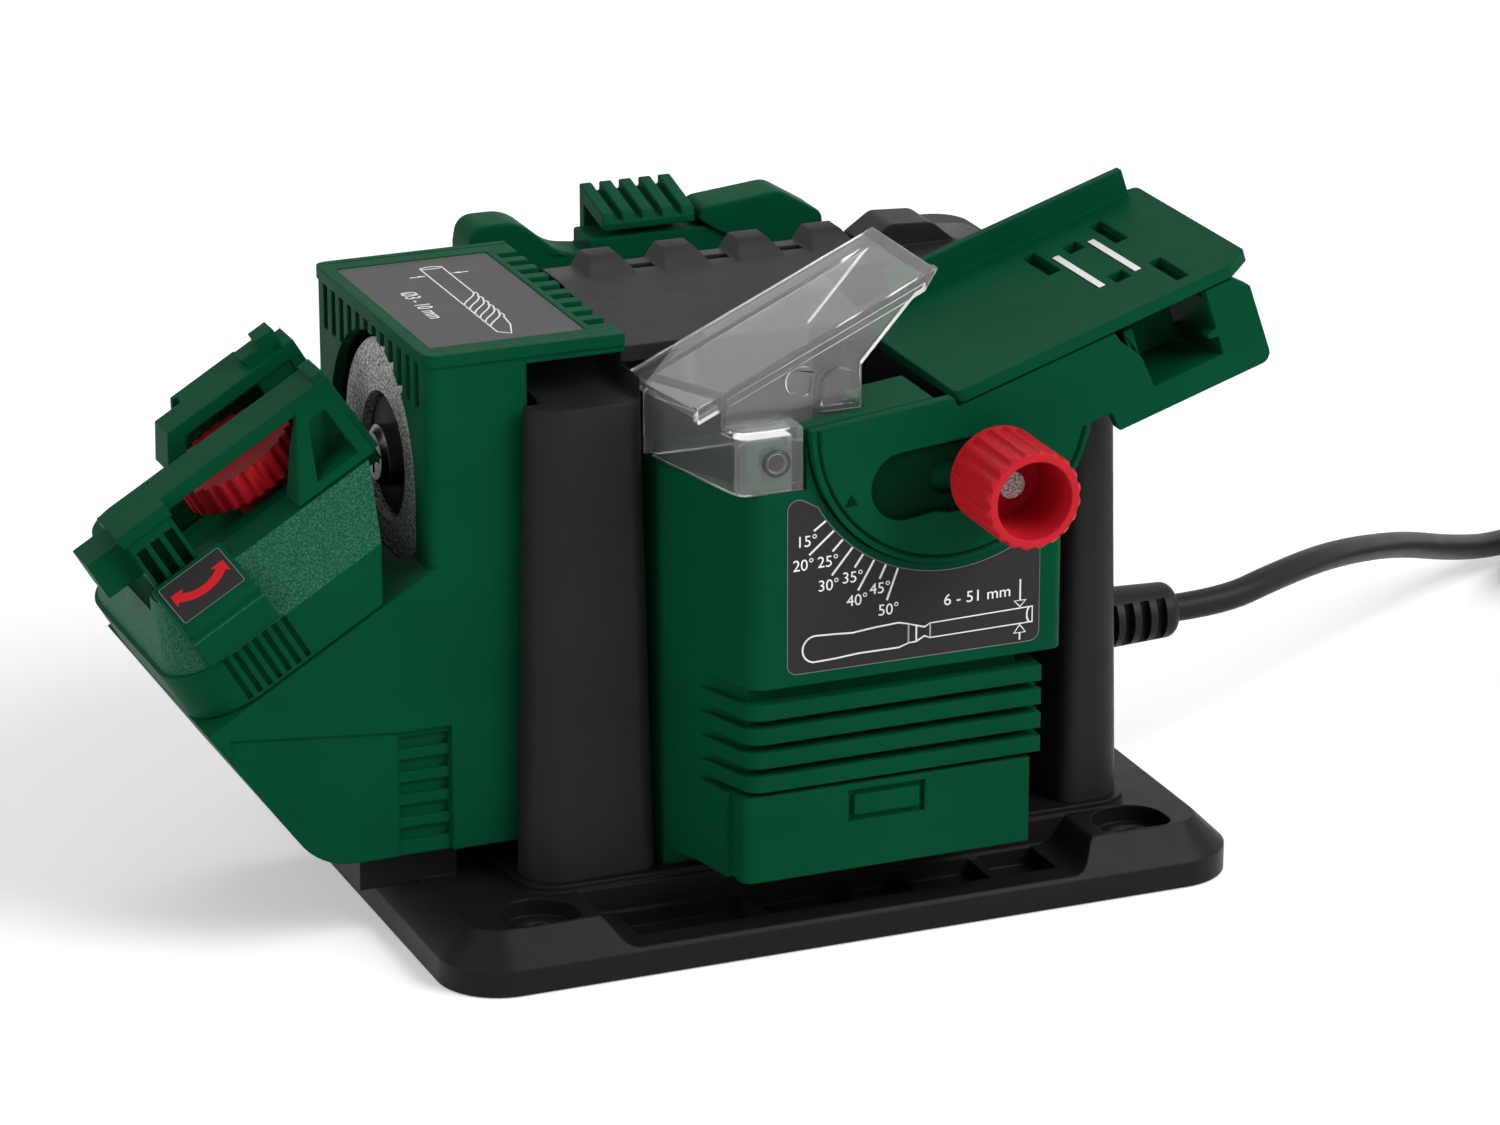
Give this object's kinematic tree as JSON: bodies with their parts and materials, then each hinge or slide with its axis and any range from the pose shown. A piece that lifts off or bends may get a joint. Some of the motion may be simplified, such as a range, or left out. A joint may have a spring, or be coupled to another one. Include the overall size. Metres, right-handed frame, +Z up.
{
  "type": "drill bit and blade sharpener",
  "caption": "Bench sharpening station: a motor turns a small grinding wheel under a swinging drill holder, with a tilting chisel table, a clear guard and a knife guide.",
  "frame": {"origin": "on the underside, midway between the four base screw holes", "axes": "+Z up, +X to the side where the mains lead leaves, +Y to the back, so the chisel table faces -Y"},
  "size_m": [0.4945, 0.2022, 0.1497],
  "materials": {
    "green_plastic": "fine grained moulded plastic",
    "black_plastic": "fine grained moulded plastic",
    "red_plastic": "smooth satin plastic",
    "clear_plastic": "clear moulded plastic",
    "steel": "bright zinc",
    "brass": "stamped",
    "copper": "enamelled winding",
    "laminations": "stacked sheet steel",
    "carbon": "dull",
    "abrasive": "bonded grit",
    "cord_rubber": "smooth satin"
  },
  "bodies": {
    "station": {"base_plate": "black_plastic", "motor_housing": "black_plastic", "top_cover": "black_plastic", "stator_cradle": "black_plastic", "stator_core": "laminations", "field_coils": "copper", "bearing_plate": "black_plastic", "front_bearing": "steel", "rear_bearing": "steel", "brush_holders": "brass", "carbon_brushes": "carbon", "drill_housing": "green_plastic", "swing_pin": "steel", "chisel_housing": "green_plastic", "knob_stud": "steel", "clear_guard": "clear_plastic", "guard_pin": "clear_plastic", "knife_housing": "green_plastic", "knife_latch": "green_plastic", "switch_body": "black_plastic", "base_screws": "steel", "cord_grip": "cord_rubber", "power_cord": "cord_rubber", "cord_coil": "cord_rubber", "cord_tie": "black_plastic", "power_plug": "cord_rubber", "plug_pins": "steel"},
    "rotor": {"motor_shaft": "steel", "armature_core": "laminations", "commutator": "copper", "cooling_fan": "black_plastic", "wheel_hub": "black_plastic", "grinding_wheel": "abrasive", "wheel_washer": "black_plastic", "wheel_screw": "steel"},
    "holder": {"swing_block": "green_plastic", "clamp_pin": "steel"},
    "clamp": {"clamp_wheel": "red_plastic"},
    "front_jaw": {"near_jaw": "green_plastic"},
    "back_jaw": {"far_jaw": "green_plastic"},
    "arm": {"angle_plate": "green_plastic"},
    "tray": {"chisel_tray": "green_plastic", "tray_strips": "steel"},
    "knob": {"lock_knob": "red_plastic"},
    "rocker": {"switch_rocker": "red_plastic"}
  },
  "joints": [
    {"name": "motor_spin", "type": "hinge", "parent": "station", "child": "rotor", "pos_m": [0, 0, 0.099], "axis": [1, 0, 0], "continuous": true},
    {"name": "holder_swing", "type": "hinge", "parent": "station", "child": "holder", "pos_m": [-0.11689, 0, 0.0784], "axis": [-0.515, 0, 0.8572], "range_deg": [-20, 20]},
    {"name": "clamp_wheel_turn", "type": "hinge", "parent": "holder", "child": "clamp", "pos_m": [-0.10489, 0, 0.08561], "axis": [-0.515, 0, 0.8572], "range_deg": [0, 270]},
    {"name": "near_jaw_slide", "type": "slide", "parent": "holder", "child": "front_jaw", "axis": [0, 1, 0], "range_m": [0, 0.0045]},
    {"name": "far_jaw_slide", "type": "slide", "parent": "holder", "child": "back_jaw", "axis": [0, -1, 0], "range_m": [0, 0.0045]},
    {"name": "arm_tilt", "type": "hinge", "parent": "station", "child": "arm", "pos_m": [0.0185, 0, 0.1175], "axis": [0, -1, 0], "range_deg": [0, 35]},
    {"name": "tray_slide", "type": "slide", "parent": "arm", "child": "tray", "axis": [0, 1, 0], "range_m": [-0.015, 0.006]},
    {"name": "lock_knob_turn", "type": "hinge", "parent": "station", "child": "knob", "pos_m": [0.0257, 0, 0.1057], "axis": [0, 1, 0], "range_deg": [0, 180]},
    {"name": "switch_rock", "type": "hinge", "parent": "station", "child": "rocker", "pos_m": [0.0692, 0.022, 0.072], "axis": [0, 1, 0], "range_deg": [0, 17]}
  ],
  "couplings": [
    {"joint": "near_jaw_slide", "follows": "clamp_wheel_turn", "m_per_rad": 0.0009549},
    {"joint": "far_jaw_slide", "follows": "clamp_wheel_turn", "m_per_rad": 0.0009549}
  ]
}
